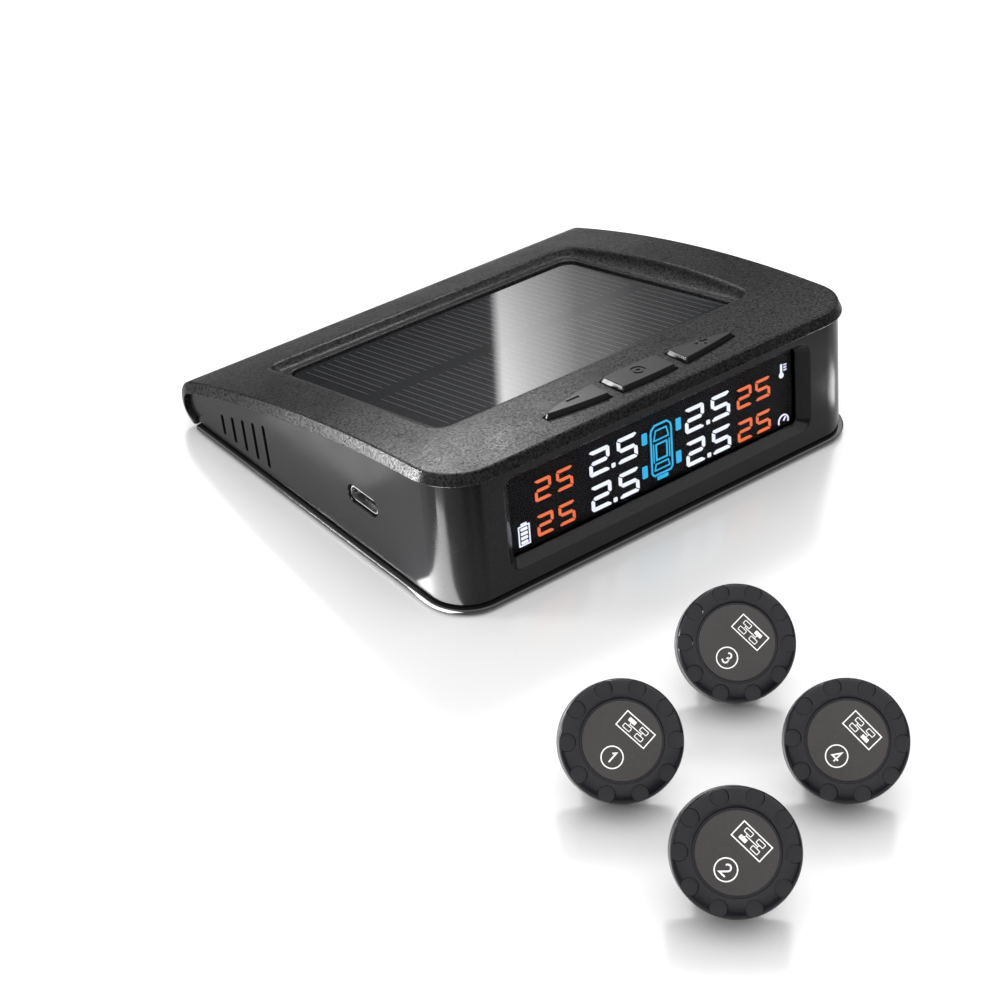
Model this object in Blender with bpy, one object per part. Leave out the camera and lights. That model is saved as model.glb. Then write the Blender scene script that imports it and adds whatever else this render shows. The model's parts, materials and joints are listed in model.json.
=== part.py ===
"""Solar tyre pressure monitor: a wedge-shaped display unit with four screw-on valve sensors.

Frame: metres, +Z up, the screen faces -Y and +X is to the right of someone reading it.
The origin is the centre of the non-slip pad's underside. Each sensor lies on the same surface,
leaning on its rim and the end of its valve neck, so that its face points up and forward.
"""
import math

import bmesh
import bpy
from mathutils import Matrix, Vector

MM = 0.001
GAP = 0.3 * MM

# Display unit, plan view
HALF_WIDTH = 46.0 * MM
BASE_FRONT = -39.9 * MM
BASE_BACK = 35.1 * MM
LIP = 0.9 * MM
WALL_HALF_WIDTH = HALF_WIDTH - LIP
WALL = 1.8 * MM
CORNER = 8.0 * MM
LID_FRONT = -37.5 * MM
LID_CORNER = 9.0 * MM

# Display unit, side view: an arched top that rolls over a round nose at the back
ARCH_RADIUS = 290.0 * MM
ARCH_CENTRE_Y = -63.1 * MM
ARCH_CENTRE_Z = -263.1 * MM
LID_SKIN = 2.0 * MM
NOSE_RADIUS = 4.5 * MM
NOSE_ANGLE = math.radians(20.2)
WALL_BOTTOM = 1.6 * MM
FACE_RAKE = 0.117

# Solar panel, set in a sloping plane below the arched top
PANEL_CENTRE = Vector((0.0, 1.95 * MM, 16.52 * MM))
PANEL_TILT = math.radians(13.2)
GLASS_HALF_X = 32.2 * MM
GLASS_HALF_Y = 23.5 * MM
GLASS_THICK = 1.0 * MM
CELL_HALF_X = 30.6 * MM
CELL_HALF_Y = 9.6 * MM
CELL_GAP = 3.6 * MM
CELL_MIDDLE = 1.1 * MM

# Screen
SCREEN_HALF_X = 32.0 * MM
SCREEN_LOW = 6.05 * MM
SCREEN_HIGH = 20.35 * MM
BEZEL_SIDE = 1.9 * MM
BEZEL_END = 1.25 * MM

# Buttons: one lens-shaped group cut into three
BUTTON_FRONT_RADIUS = 115.0 * MM
BUTTON_FRONT = -33.45 * MM
BUTTON_REAR_RADIUS = 68.0 * MM
BUTTON_REAR = -27.5 * MM
BUTTON_RISE = 0.9 * MM
BUTTON_SPANS = {"down": (-20.6, -8.3), "set": (-6.0, 6.0), "up": (8.3, 20.6)}
FLANGE_LOW = 21.2 * MM
SWITCH_LOW = 17.9 * MM
SWITCH_HIGH = 19.9 * MM
SWITCH_Y = -26.5 * MM
SWITCH_SIDE = 5.0 * MM

# Boards and the socket
MAIN_BOARD_TOP = 8.9 * MM
BOARD_THICK = 1.6 * MM
USB_Y = -14.1 * MM
USB_Z = 10.75 * MM

# Openings in the left wall
WALL_OUTSIDE = -50.0 * MM
WALL_INSIDE = -40.0 * MM
VENTS = 5
VENT_FIRST_Y = 12.9 * MM
VENT_PITCH = 3.4 * MM
VENT_LOW = 3.2 * MM
VENT_TALLEST = 7.9 * MM
VENT_STEP = 1.02 * MM
VENT_LEAN = 0.19
VENT_HALF = 0.45 * MM

# Screws that hold the base
SCREW_X = 41.0 * MM
SCREW_FRONT_Y = -29.5 * MM
SCREW_BACK_Y = 24.0 * MM
POST_RADIUS = 2.7 * MM
POST_LOW = 2.9 * MM
POST_FRONT_TOP = 7.0 * MM
POST_BACK_TOP = 7.6 * MM

# Sensors
SENSOR_RADIUS = 9.0 * MM
NECK_RADIUS = 4.9 * MM
SENSOR_TILT = math.radians(40.0)
NECK_LENGTH = (SENSOR_RADIUS - NECK_RADIUS) / math.tan(SENSOR_TILT)
SENSOR_PLACES = [(-49.9, -82.4, 37.0), (-53.1, -109.8, 40.7), (-21.2, -76.5, 40.2), (-24.5, -103.1, 43.7)]


def clear_scene():
    for item in list(bpy.data.objects):
        bpy.data.objects.remove(item, do_unlink=True)


def material(name, colour, roughness, metallic=0.0):
    made = bpy.data.materials.get(name)
    if made is None:
        made = bpy.data.materials.new(name)
        made.use_nodes = True
        shader = made.node_tree.nodes["Principled BSDF"]
        shader.inputs["Base Color"].default_value = (*colour, 1.0)
        shader.inputs["Roughness"].default_value = roughness
        shader.inputs["Metallic"].default_value = metallic
    return made


def link(name, mesh, finish=None):
    made = bpy.data.objects.new(name, mesh)
    bpy.context.scene.collection.objects.link(made)
    if finish is not None:
        mesh.materials.append(material(f"{name}_finish", *finish))
    return made


def solid(name, points, faces, finish=None):
    mesh = bpy.data.meshes.new(name)
    mesh.from_pydata([tuple(point) for point in points], [], faces)
    work = bmesh.new()
    work.from_mesh(mesh)
    bmesh.ops.recalc_face_normals(work, faces=work.faces[:])
    work.to_mesh(mesh)
    work.free()
    return link(name, mesh, finish)


def loft(name, sections, finish=None):
    """Join equal closed outlines into one solid, with a flat cap on the first and the last."""
    count = len(sections[0])
    points = [point for section in sections for point in section]
    faces = [tuple(range(count)), tuple(range(len(points) - count, len(points)))]
    for level in range(len(sections) - 1):
        for step in range(count):
            low = level * count + step
            low_next = level * count + (step + 1) % count
            faces.append((low, low_next, low_next + count, low + count))
    return solid(name, points, faces, finish)


def prism_z(name, outline, low, high, finish=None):
    return loft(name, [[(x, y, z) for x, y in outline] for z in (low, high)], finish)


def prism_x(name, outline, low, high, finish=None):
    return loft(name, [[(x, y, z) for y, z in outline] for x in (low, high)], finish)


def box(name, low, high, finish=None):
    outline = [(low[0], low[1]), (high[0], low[1]), (high[0], high[1]), (low[0], high[1])]
    return prism_z(name, outline, low[2], high[2], finish)


def turned(name, profile, segments, finish=None):
    """Turn a closed profile of (radius, height) points about Z; a radius of 0 lies on the axis."""
    points = []
    rows = []
    for radius, height in profile:
        if radius == 0.0:
            rows.append([len(points)] * segments)
            points.append((0.0, 0.0, height))
            continue
        rows.append(list(range(len(points), len(points) + segments)))
        for step in range(segments):
            angle = 2.0 * math.pi * step / segments
            points.append((radius * math.cos(angle), radius * math.sin(angle), height))
    faces = []
    for row, after in zip(rows, rows[1:] + rows[:1]):
        if row[0] == row[1] and after[0] == after[1]:
            continue
        for step in range(segments):
            corner = [row[step], row[(step + 1) % segments], after[(step + 1) % segments], after[step]]
            faces.append(tuple(dict.fromkeys(corner)))
    made = solid(name, points, faces, finish)
    made.data.shade_smooth()
    made.data.set_sharp_from_angle(angle=math.radians(35.0))
    return made


def combine(target, other, operation):
    """Cut, join or trim a solid with another one, which is used up."""
    change = target.modifiers.new("combine", "BOOLEAN")
    change.operation = operation
    change.solver = "EXACT"
    change.object = other
    bpy.context.view_layer.update()
    shape = target.evaluated_get(bpy.context.evaluated_depsgraph_get())
    mesh = bpy.data.meshes.new_from_object(shape)
    target.modifiers.clear()
    target.data = mesh
    bpy.data.objects.remove(other, do_unlink=True)


def cut(target, *others):
    for other in others:
        combine(target, other, "DIFFERENCE")


def join(target, *others):
    for other in others:
        combine(target, other, "UNION")


def trim(target, other):
    combine(target, other, "INTERSECT")


def rod(name, radius, low, high, segments=16, finish=None):
    return turned(name, [(0.0, low), (radius, low), (radius, high), (0.0, high)], segments, finish)


def arc(centre, radius, start, end, steps):
    """Points along an arc; angles in degrees, counted anticlockwise from the first axis."""
    angles = [math.radians(start + (end - start) * step / steps) for step in range(steps + 1)]
    return [(centre[0] + radius * math.cos(a), centre[1] + radius * math.sin(a)) for a in angles]


def rounded_rectangle(half_x, half_y, radius, steps=4):
    corners = []
    for side_x, side_y, start in ((1, 1, 0), (-1, 1, 90), (-1, -1, 180), (1, -1, 270)):
        centre = (side_x * (half_x - radius), side_y * (half_y - radius))
        corners += arc(centre, radius, start, start + 90, steps)
    return corners


def plan_outline(half_width, front, back, radius, steps=6):
    """Straight back corners and round front corners."""
    outline = [(half_width, back), (-half_width, back)]
    outline += arc((-half_width + radius, front + radius), radius, 180, 270, steps)
    outline += arc((half_width - radius, front + radius), radius, 270, 360, steps)
    return outline


def tube(name, route, radius, finish, sides=0):
    """A wire or lead along a list of points, with closed ends."""
    curve = bpy.data.curves.new(name, "CURVE")
    curve.dimensions = "3D"
    curve.bevel_depth = radius
    curve.bevel_resolution = sides
    curve.use_fill_caps = True
    spline = curve.splines.new("POLY")
    spline.points.add(len(route) - 1)
    for point, place in zip(spline.points, route):
        point.co = (*place, 1.0)
    curve.materials.append(material(f"{name}_finish", *finish))
    made = bpy.data.objects.new(name, curve)
    bpy.context.scene.collection.objects.link(made)
    return made


def top_height(y):
    """Height of the arched top above the table at a distance from front to back."""
    return ARCH_CENTRE_Z + math.sqrt(ARCH_RADIUS**2 - (y - ARCH_CENTRE_Y) ** 2)


def side_profile(inset, front, steps=12):
    """The arched top and the round nose, moved inwards, from the front to the nose's underside."""
    arch = ARCH_RADIUS - inset
    start = math.asin((front - ARCH_CENTRE_Y) / arch)
    points = []
    for step in range(steps + 1):
        angle = start + (NOSE_ANGLE - start) * step / steps
        points.append((ARCH_CENTRE_Y + arch * math.sin(angle), ARCH_CENTRE_Z + arch * math.cos(angle)))
    centre = (
        ARCH_CENTRE_Y + (ARCH_RADIUS - NOSE_RADIUS) * math.sin(NOSE_ANGLE),
        ARCH_CENTRE_Z + (ARCH_RADIUS - NOSE_RADIUS) * math.cos(NOSE_ANGLE),
    )
    return points + arc(centre, NOSE_RADIUS - inset, 90 - math.degrees(NOSE_ANGLE), -90, 8)[1:]


def face_point(x, height, depth):
    """A point behind the raked front face, measured square to it."""
    lean = math.atan(FACE_RAKE)
    front = BASE_FRONT + LIP + FACE_RAKE * (height - WALL_BOTTOM)
    return (x, front + depth * math.cos(lean), height - depth * math.sin(lean))


def face_outline(half_x, low, high, depth):
    return [
        face_point(-half_x, low, depth),
        face_point(half_x, low, depth),
        face_point(half_x, high, depth),
        face_point(-half_x, high, depth),
    ]


def on_panel(item):
    """Lay a solid made about the origin into the solar panel's plane."""
    item.location = PANEL_CENTRE
    item.rotation_euler = (-PANEL_TILT, 0.0, 0.0)
    return item


def button_outline(low_x, high_x, margin=0.0, steps=4):
    """The stretch of the lens shape between two sides, grown by a margin."""
    low = low_x * MM - margin
    high = high_x * MM + margin
    front_radius = BUTTON_FRONT_RADIUS + margin
    rear_radius = BUTTON_REAR_RADIUS + margin
    xs = [low + (high - low) * step / steps for step in range(steps + 1)]
    front_centre = BUTTON_FRONT + BUTTON_FRONT_RADIUS
    rear_centre = BUTTON_REAR - BUTTON_REAR_RADIUS
    front = [(x, front_centre - math.sqrt(front_radius**2 - x**2)) for x in xs]
    rear = [(x, rear_centre + math.sqrt(rear_radius**2 - x**2)) for x in reversed(xs)]
    return front + rear


def make_top_cover():
    outer = side_profile(0.0, LID_FRONT)
    inner = side_profile(LID_SKIN, LID_FRONT)
    cover = prism_x("top_cover", outer + inner[::-1], -HALF_WIDTH, HALF_WIDTH, ((0.03, 0.03, 0.032), 0.6))
    outline = plan_outline(HALF_WIDTH, LID_FRONT, 45.0 * MM, LID_CORNER)
    trim(cover, prism_z("cover_outline", outline, -5.0 * MM, 40.0 * MM))

    tray = on_panel(prism_z("tray", rounded_rectangle(37.5 * MM, 25.8 * MM, 3.0 * MM), -1.9 * MM, 1.2 * MM))
    join(cover, tray)
    opening = rounded_rectangle(GLASS_HALF_X - 0.6 * MM, GLASS_HALF_Y - 0.7 * MM, 2.0 * MM)
    seat = rounded_rectangle(GLASS_HALF_X + GAP, GLASS_HALF_Y + GAP, 2.5 * MM)
    seat_bottom = -GLASS_THICK - GAP
    bevel = []
    for height, half_x, front, back in ((0.2, 33.1, -24.0, 24.4), (4.0, 37.3, -24.6, 31.6)):
        middle = (front + back) / 2.0 * MM
        outline = rounded_rectangle(half_x * MM, (back - front) / 2.0 * MM, 3.0 * MM)
        bevel.append([(x, y + middle, height * MM) for x, y in outline])
    cut(
        cover,
        on_panel(prism_z("panel_opening", opening, -4.0 * MM, 1.0 * MM)),
        on_panel(prism_z("glass_seat", seat, seat_bottom, 1.0 * MM)),
        on_panel(loft("panel_bevel", bevel)),
    )
    for name, (low, high) in BUTTON_SPANS.items():
        cut(cover, prism_z(f"{name}_aperture", button_outline(low, high, GAP), 15.0 * MM, 30.0 * MM))


def make_housing():
    sections = []
    inner_sections = []
    for height in (WALL_BOTTOM, 26.0 * MM):
        front = face_point(0.0, height, 0.0)[1]
        outline = plan_outline(WALL_HALF_WIDTH, front, 38.2 * MM, CORNER - LIP)
        sections.append([(x, y, height) for x, y in outline])
        outline = plan_outline(WALL_HALF_WIDTH - WALL, front + WALL, 33.4 * MM, CORNER - LIP - WALL)
        inner_sections.append([(x, y, height) for x, y in outline])
    below = 2.0 * MM * FACE_RAKE
    first = [(x, y - below, z - 2.0 * MM) for x, y, z in inner_sections[0]]
    last = [(x, y + below, z + 2.0 * MM) for x, y, z in inner_sections[1]]
    housing = loft("main_housing", sections, ((0.02, 0.02, 0.022), 0.28))
    wedge = side_profile(LID_SKIN + GAP, -50.0 * MM)
    wedge += [(BASE_BACK - GAP, wedge[-1][1]), (BASE_BACK - GAP, 0.0), (-50.0 * MM, 0.0)]
    trim(housing, prism_x("wedge", wedge, -50.0 * MM, 50.0 * MM))
    cut(housing, loft("housing_inside", [first, last]))

    posts = []
    holes = []
    for x, y in screw_places():
        top = POST_FRONT_TOP if y < 0.0 else POST_BACK_TOP
        posts.append(placed(rod("post", POST_RADIUS, POST_LOW, top), x, y))
        holes.append(placed(rod("post_hole", 1.3 * MM, 2.0 * MM, 6.4 * MM, 12), x, y))
    join(housing, *posts)
    cut(housing, *holes)

    window = []
    for flare, depth in ((1.3, -0.3 * WALL), (0.0, WALL), (0.0, 2.0 * WALL)):
        side = SCREEN_HALF_X + flare * BEZEL_SIDE
        low = SCREEN_LOW - flare * BEZEL_END
        high = SCREEN_HIGH + flare * BEZEL_END
        window.append(face_outline(side, low, high, depth))
    cut(housing, loft("window_opening", window))
    cut(housing, usb_cutter())
    for index in range(VENTS):
        cut(housing, vent_cutter(index))


def placed(item, x, y, z=0.0):
    item.location = (x, y, z)
    return item


def screw_places():
    return [(side * SCREW_X, y) for side in (-1, 1) for y in (SCREW_FRONT_Y, SCREW_BACK_Y)]


def usb_cutter():
    outline = rounded_rectangle(4.1 * MM, 1.7 * MM, 1.5 * MM, 3)
    points = [(USB_Y + y, USB_Z + z) for y, z in outline]
    return prism_x("usb_opening", points, WALL_OUTSIDE, WALL_INSIDE)


def vent_cutter(index):
    """One leaning slot; each slot nearer the front is taller."""
    low_y = VENT_FIRST_Y + VENT_PITCH * index
    rise = VENT_TALLEST - VENT_STEP * index
    high_y = low_y + VENT_LEAN * rise
    high_z = VENT_LOW + rise
    outline = [
        (low_y - VENT_HALF, VENT_LOW),
        (low_y + VENT_HALF, VENT_LOW),
        (high_y + VENT_HALF, high_z),
        (high_y - VENT_HALF, high_z),
    ]
    return prism_x("vent", outline, WALL_OUTSIDE, WALL_INSIDE)


def make_base():
    outline = plan_outline(HALF_WIDTH, BASE_FRONT, BASE_BACK, CORNER)
    base = prism_z("base_plate", outline, 0.4 * MM, 1.3 * MM, ((0.02, 0.02, 0.022), 0.35))
    inset = LIP + WALL + GAP
    inner = plan_outline(HALF_WIDTH - inset, BASE_FRONT + inset, 33.0 * MM, CORNER - inset)
    join(base, prism_z("inner_plate", inner, 1.0 * MM, 2.5 * MM))
    cut(base, prism_z("pad_recess", rounded_rectangle(35.3 * MM, 31.3 * MM, 5.0 * MM), 0.0, 1.3 * MM))
    for x, y in screw_places():
        cut(base, placed(rod("head_recess", 2.4 * MM, 0.0, 1.6 * MM), x, y))
        cut(base, placed(rod("shank_hole", 1.4 * MM, 0.0, 4.0 * MM, 12), x, y))
    pad = rounded_rectangle(35.0 * MM, 31.0 * MM, 4.7 * MM)
    prism_z("non_slip_pad", pad, 0.0, 1.0 * MM, ((0.015, 0.015, 0.015), 0.9))

    names = ("rear_left", "front_left", "rear_right", "front_right")
    for name, (x, y) in zip(names, sorted(screw_places(), key=lambda place: (place[0], -place[1]))):
        profile = [(0.0, 0.5), (1.6, 0.5), (2.0, 0.8), (2.0, 1.3), (1.0, 1.3), (1.0, 6.0), (0.0, 6.0)]
        profile = [(radius * MM, height * MM) for radius, height in profile]
        placed(turned(f"screw_{name}", profile, 12, ((0.25, 0.25, 0.26), 0.35, 1.0)), x, y)


def make_solar_panel():
    glass = rounded_rectangle(GLASS_HALF_X, GLASS_HALF_Y, 2.2 * MM)
    on_panel(prism_z("solar_glass", glass, -GLASS_THICK, 0.0, ((0.01, 0.011, 0.013), 0.05)))
    for name, side in (("front", -1), ("rear", 1)):
        middle = CELL_MIDDLE + side * (CELL_HALF_Y + CELL_GAP / 2.0)
        outline = [(x, y + middle) for x, y in rounded_rectangle(CELL_HALF_X, CELL_HALF_Y, 0.4 * MM, 1)]
        on_panel(prism_z(f"solar_cells_{name}", outline, -1.75 * MM, -1.35 * MM, ((0.01, 0.012, 0.02), 0.3)))
    board = rounded_rectangle(31.2 * MM, 22.4 * MM, 1.5 * MM, 2)
    on_panel(prism_z("solar_board", board, -3.1 * MM, -2.1 * MM, ((0.02, 0.03, 0.05), 0.6)))


def make_screen():
    layers = (
        ("display_window", 33.4, 5.2, 21.0, 2.15, 2.95, ((0.01, 0.01, 0.012), 0.06)),
        ("lcd_panel", 33.0, 5.4, 20.9, 3.25, 4.65, ((0.02, 0.02, 0.03), 0.2)),
        ("backlight", 33.0, 5.4, 20.9, 4.95, 6.75, ((0.7, 0.7, 0.7), 0.5)),
    )
    for name, half_x, low, high, front, back, finish in layers:
        sections = [face_outline(half_x * MM, low * MM, high * MM, depth * MM) for depth in (front, back)]
        loft(name, sections, finish)


def make_buttons():
    for name, (low, high) in BUTTON_SPANS.items():
        middle = (low + high) / 2.0 * MM
        outline = button_outline(low, high)
        bottom = [(x, y, FLANGE_LOW + 0.5 * MM) for x, y in outline]
        top = [(x, y, top_height(y) + BUTTON_RISE) for x, y in outline]
        button = loft(f"button_{name}", [bottom, top], ((0.03, 0.03, 0.032), 0.5))
        flange_low = (middle - 4.0 * MM, -29.2 * MM, FLANGE_LOW)
        flange_high = (middle + 4.0 * MM, -24.9 * MM, FLANGE_LOW + 0.7 * MM)
        join(button, box("flange", flange_low, flange_high))
        pin = rod("pin", 1.2 * MM, FLANGE_LOW - 0.3 * MM, FLANGE_LOW + 0.3 * MM, 12)
        join(button, placed(pin, middle, SWITCH_Y))

        half = SWITCH_SIDE / 2.0
        low_corner = (middle - half, SWITCH_Y - half, SWITCH_LOW)
        high_corner = (middle + half, SWITCH_Y + half, SWITCH_HIGH)
        switch = box(f"switch_{name}", low_corner, high_corner, ((0.05, 0.05, 0.05), 0.5))
        hole = rod("plunger_hole", 1.6 * MM, SWITCH_LOW + 0.3 * MM, SWITCH_HIGH + 2.0 * MM, 14)
        cut(switch, placed(hole, middle, SWITCH_Y))
        plunger_low = SWITCH_LOW + 1.0 * MM
        plunger_high = SWITCH_HIGH + 0.7 * MM
        plunger = rod(f"plunger_{name}", 1.2 * MM, plunger_low, plunger_high, 12, ((0.6, 0.5, 0.1), 0.4))
        placed(plunger, middle, SWITCH_Y)


def make_boards():
    green = ((0.02, 0.12, 0.05), 0.45)
    main_low = (-42.4 * MM, -29.0 * MM, MAIN_BOARD_TOP - BOARD_THICK)
    box("main_board", main_low, (42.4 * MM, -4.2 * MM, MAIN_BOARD_TOP), green)
    button_low = (-22.0 * MM, -29.3 * MM, SWITCH_LOW - 0.3 * MM - BOARD_THICK)
    box("button_board", button_low, (22.0 * MM, -21.0 * MM, SWITCH_LOW - 0.3 * MM), green)


def make_battery():
    cell = [(x, y + 10.5 * MM) for x, y in rounded_rectangle(26.0 * MM, 12.5 * MM, 1.0 * MM, 2)]
    prism_z("battery", cell, 3.0 * MM, 6.8 * MM, ((0.5, 0.5, 0.52), 0.4, 0.6))
    bends = ((-2.4, 5.0), (-3.1, 6.2), (-3.2, 8.4), (-3.6, 9.9), (-4.8, 10.5), (-6.0, 10.4), (-6.5, 9.6))
    route = [(6.0 * MM, y * MM, z * MM) for y, z in bends]
    tube("battery_lead", route, 0.4 * MM, ((0.5, 0.02, 0.02), 0.5), 1)


def make_socket():
    outer = [(USB_Y + y, USB_Z + z) for y, z in rounded_rectangle(3.8 * MM, 1.4 * MM, 1.2 * MM, 3)]
    inner = [(USB_Y + y, USB_Z + z) for y, z in rounded_rectangle(3.45 * MM, 1.05 * MM, 0.85 * MM, 3)]
    shell = prism_x("usb_shell", outer, -44.7 * MM, -38.0 * MM, ((0.6, 0.6, 0.6), 0.25, 1.0))
    cut(shell, prism_x("usb_inside", inner, -46.0 * MM, -38.8 * MM))
    tongue_low = (-42.6 * MM, USB_Y - 2.6 * MM, USB_Z - 0.1 * MM)
    tongue_high = (-39.2 * MM, USB_Y + 2.6 * MM, USB_Z + 0.5 * MM)
    box("usb_tongue", tongue_low, tongue_high, ((0.02, 0.02, 0.02), 0.5))


def make_buzzer():
    profile = [(0.0, 0.3), (4.5, 0.3), (4.5, 3.3), (1.0, 3.3), (1.0, 2.7), (0.0, 2.7)]
    profile = [(radius * MM, MAIN_BOARD_TOP + height * MM) for radius, height in profile]
    placed(turned("buzzer", profile, 20, ((0.02, 0.02, 0.02), 0.5)), 26.0 * MM, -14.0 * MM)


def make_antenna():
    """A coil that stands on the main board and runs across the unit."""
    turns = 6
    steps = 10
    radius = 1.6 * MM
    pitch = 1.4 * MM
    route = []
    for step in range(turns * steps + 1):
        angle = 2.0 * math.pi * step / steps
        across = 8.0 * MM + pitch * step / steps
        route.append((across, -10.0 * MM + radius * math.cos(angle), 11.6 * MM + radius * math.sin(angle)))
    tube("antenna_coil", route, 0.25 * MM, ((0.7, 0.35, 0.15), 0.3, 1.0))


def scalloped_cap(name, finish):
    """The sensor's cap, with ten shallow finger notches round its upper edge, and hollow below."""
    per_notch = 4
    segments = 10 * per_notch
    rings = []
    for radius, height, notch in (
        (8.55, 2.5, 0.0),
        (9.0, 2.5, 0.0),
        (9.0, 4.4, 0.0),
        (9.0, 4.4, 1.1),
        (9.0, 6.6, 1.1),
        (8.4, 7.0, 0.9),
        (6.4, 7.2, 0.0),
    ):
        ring = []
        for step in range(segments):
            angle = 2.0 * math.pi * step / segments
            reach = (radius - notch * (step % per_notch == 0) - 0.4 * notch * (step % per_notch != 2)) * MM
            ring.append((reach * math.cos(angle), reach * math.sin(angle), height * MM))
        rings.append(ring)
    inside = []
    for radius, height in ((8.55, 3.6), (7.6, 3.6), (7.6, 5.9)):
        angles = [2.0 * math.pi * step / segments for step in range(segments)]
        inside.append([(radius * MM * math.cos(a), radius * MM * math.sin(a), height * MM) for a in angles])
    made = loft(name, inside[::-1] + rings, finish)
    made.data.shade_smooth()
    made.data.set_sharp_from_angle(angle=math.radians(35.0))
    return made


def sensor_frame(place):
    """Lift, turn and lean a sensor so that its rim and the end of its neck both touch the table."""
    x, y, yaw = place
    height = SENSOR_RADIUS * math.cos(SENSOR_TILT)
    lift = Matrix.Translation((x * MM, y * MM, height))
    turn = Matrix.Rotation(math.radians(-yaw), 4, "Z")
    lean = Matrix.Rotation(math.pi / 2.0 - SENSOR_TILT, 4, "X")
    return lift @ turn @ lean


def make_sensor(number, place):
    """A sensor is made upright about its own axis, then its pieces are moved together."""
    prefix = f"sensor_{number}"
    black = ((0.02, 0.02, 0.021), 0.45)
    neck = NECK_LENGTH / MM
    base = [(0.0, 0.0), (4.4, 0.0), (4.4, -neck), (4.9, -neck), (4.9, 0.0), (9.0, 0.0)]
    base += [(9.0, 2.2), (7.3, 2.2), (7.3, 4.9), (6.55, 4.9), (6.55, 1.2), (0.0, 1.2)]
    insert = [(3.55, -neck + 0.3), (4.1, -neck + 0.3), (4.1, -0.3), (3.55, -0.3)]
    seal = [(1.3, -1.5), (3.25, -1.5), (3.25, -0.3), (1.3, -0.3)]
    circuit = [(0.0, 1.5), (6.2, 1.5), (6.2, 2.3), (0.0, 2.3)]
    cell = [(0.0, 2.7), (5.9, 2.7), (6.25, 3.0), (6.25, 4.7), (0.0, 4.7)]
    ring = arc((7.92, 2.87), 0.33, 0, 300, 5)
    made = [scalloped_cap(f"{prefix}_cap", black)]
    pieces = (
        ("base", base, 28, black),
        ("valve_insert", insert, 20, ((0.72, 0.55, 0.25), 0.3, 1.0)),
        ("valve_seal", seal, 16, ((0.03, 0.03, 0.03), 0.8)),
        ("circuit", circuit, 16, ((0.02, 0.12, 0.05), 0.45)),
        ("coin_cell", cell, 20, ((0.65, 0.65, 0.66), 0.25, 1.0)),
        ("cap_seal", ring, 20, ((0.02, 0.02, 0.02), 0.8)),
    )
    for name, profile, segments, finish in pieces:
        profile = [(radius * MM, height * MM) for radius, height in profile]
        made.append(turned(f"{prefix}_{name}", profile, segments, finish))
    for item in made:
        item.matrix_world = sensor_frame(place)


def main():
    clear_scene()
    make_top_cover()
    make_housing()
    make_base()
    make_solar_panel()
    make_screen()
    make_buttons()
    make_boards()
    make_battery()
    make_socket()
    make_buzzer()
    make_antenna()
    for number, place in enumerate(SENSOR_PLACES, start=1):
        make_sensor(number, place)


main()
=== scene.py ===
"""Looks of the tire pressure monitor: a solar display unit and four screw-on valve sensors.

Everything is in metres in the frame of the CAD model: +Z up, the screen faces -Y, and the origin is the
centre of the non-slip pad's underside. Sizes here repeat the design's own, in millimetres times MM.
"""
import json
import math

import bmesh
import bpy
from mathutils import Matrix, Vector


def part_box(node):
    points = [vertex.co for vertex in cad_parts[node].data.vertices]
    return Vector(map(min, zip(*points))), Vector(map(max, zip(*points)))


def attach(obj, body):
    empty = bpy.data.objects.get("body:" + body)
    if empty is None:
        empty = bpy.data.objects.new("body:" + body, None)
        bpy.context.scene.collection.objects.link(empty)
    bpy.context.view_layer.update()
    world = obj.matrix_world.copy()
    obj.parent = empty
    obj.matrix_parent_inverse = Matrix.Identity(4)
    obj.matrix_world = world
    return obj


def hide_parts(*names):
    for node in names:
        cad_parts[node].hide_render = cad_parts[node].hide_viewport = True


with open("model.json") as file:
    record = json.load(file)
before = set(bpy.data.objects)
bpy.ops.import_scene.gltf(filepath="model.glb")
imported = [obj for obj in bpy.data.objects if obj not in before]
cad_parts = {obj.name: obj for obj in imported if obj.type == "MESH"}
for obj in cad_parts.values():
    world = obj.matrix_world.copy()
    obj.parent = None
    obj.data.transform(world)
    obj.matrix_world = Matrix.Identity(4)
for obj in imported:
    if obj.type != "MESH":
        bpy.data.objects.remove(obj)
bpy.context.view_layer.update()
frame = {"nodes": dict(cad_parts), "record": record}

MM = 0.001
GAP = 0.3 * MM

# Display unit, plan view
BASE_LOW, BASE_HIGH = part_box("base_plate")
HALF_WIDTH = BASE_HIGH.x
BASE_FRONT = BASE_LOW.y
BASE_BACK = BASE_HIGH.y
LIP = 0.9 * MM
WALL = 1.8 * MM
CORNER = 8.0 * MM
BACK_CORNER = 0.8 * MM
HOUSING_BACK = 38.2 * MM
INSIDE_BACK = 34.3 * MM
LID_FRONT = -37.5 * MM
LID_CORNER = 9.0 * MM
SCREWS = {
    f"{row}_{side}": (sign * 41.0 * MM, y * MM)
    for side, sign in (("left", -1), ("right", 1))
    for row, y in (("front", -29.5), ("rear", 24.0))
}

# Display unit, side view: an arched top that rolls over a round nose at the back
ARCH_RADIUS = 290.0 * MM
ARCH_CENTRE_Y = -63.1 * MM
ARCH_CENTRE_Z = -263.1 * MM
ARCH_START = math.asin((LID_FRONT - ARCH_CENTRE_Y) / ARCH_RADIUS)
LID_SKIN = 2.0 * MM
NOSE_RADIUS = 4.5 * MM
NOSE_ANGLE = math.radians(20.2)
NOSE_Y = ARCH_CENTRE_Y + (ARCH_RADIUS - NOSE_RADIUS) * math.sin(NOSE_ANGLE)
NOSE_Z = ARCH_CENTRE_Z + (ARCH_RADIUS - NOSE_RADIUS) * math.cos(NOSE_ANGLE)
ARCH_LENGTH = ARCH_RADIUS * (NOSE_ANGLE - ARCH_START)
PROFILE_LENGTH = ARCH_LENGTH + NOSE_RADIUS * (math.pi - NOSE_ANGLE)
WALL_BOTTOM = 1.6 * MM
WALL_TOP = 26.0 * MM
FACE_RAKE = 0.117
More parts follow.
